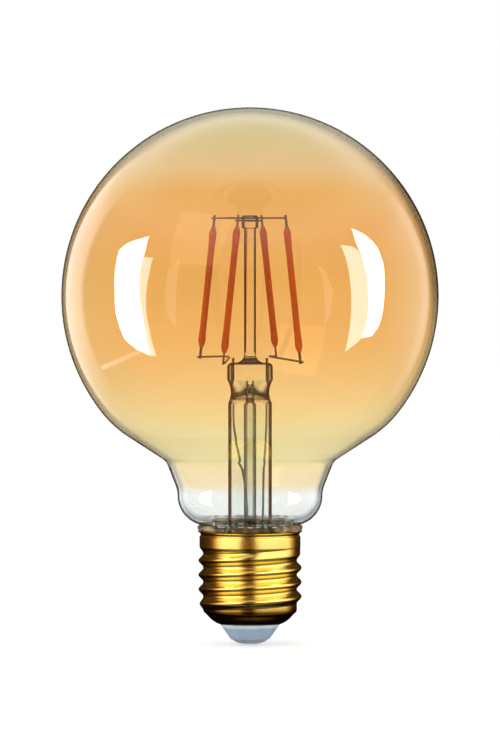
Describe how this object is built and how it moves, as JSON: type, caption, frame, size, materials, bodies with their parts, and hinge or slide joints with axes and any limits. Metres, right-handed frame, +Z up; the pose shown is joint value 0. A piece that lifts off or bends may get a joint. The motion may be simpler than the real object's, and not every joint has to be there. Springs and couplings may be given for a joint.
{
  "type": "globe filament bulb",
  "caption": "Large round amber-tinted filament bulb with a clear neck, long inner filaments on a glass stem and a screw cap.",
  "frame": {"origin": "middle of the centre contact's flat face, at the foot of the screw cap", "axes": "+Z up the bulb's axis from the contact to the crown of the glass, +X to the right and -Y towards the viewer of the source picture; the bulb has no front, so X and Y follow the picture's view of the filaments"},
  "size_m": [0.095, 0.095, 0.135],
  "materials": {
    "amber_glass": "blown glass, tinted amber over the globe and clear at the neck",
    "stem_glass": "clear glass",
    "cap_brass": "bright plated",
    "insulator": "moulded, pale blue-grey",
    "contact_metal": "tinned",
    "cement": "rough fired cement",
    "board": "solder mask",
    "capacitor_sleeve": "shrink sleeve",
    "resistor_coat": "flameproof coat",
    "black_package": "moulded epoxy",
    "wire_metal": "drawn nickel-plated wire",
    "strip_metal": "stamped strip",
    "phosphor_coat": "silicone with phosphor"
  },
  "bodies": {
    "root": {"glass_globe": "amber_glass", "stem_tube": "stem_glass", "exhaust_tube": "stem_glass", "support_rod": "stem_glass", "cap_shell": "cap_brass", "cap_insulator": "insulator", "centre_contact": "contact_metal", "basing_cement": "cement", "driver_board": "board", "smoothing_capacitor": "capacitor_sleeve", "fuse_resistor": "resistor_coat", "shell_wire": "wire_metal", "bridge_rectifier": "black_package", "driver_chip": "black_package", "top_wire_high": "wire_metal", "top_wire_low": "wire_metal", "lead_wire_left": "wire_metal", "lead_wire_right": "wire_metal", "foot_wire_left": "wire_metal", "foot_wire_right": "wire_metal", "filament_1_strip": "strip_metal", "filament_1_coat": "phosphor_coat", "filament_2_strip": "strip_metal", "filament_2_coat": "phosphor_coat", "filament_3_strip": "strip_metal", "filament_3_coat": "phosphor_coat", "filament_4_strip": "strip_metal", "filament_4_coat": "phosphor_coat"}
  },
  "joints": []
}
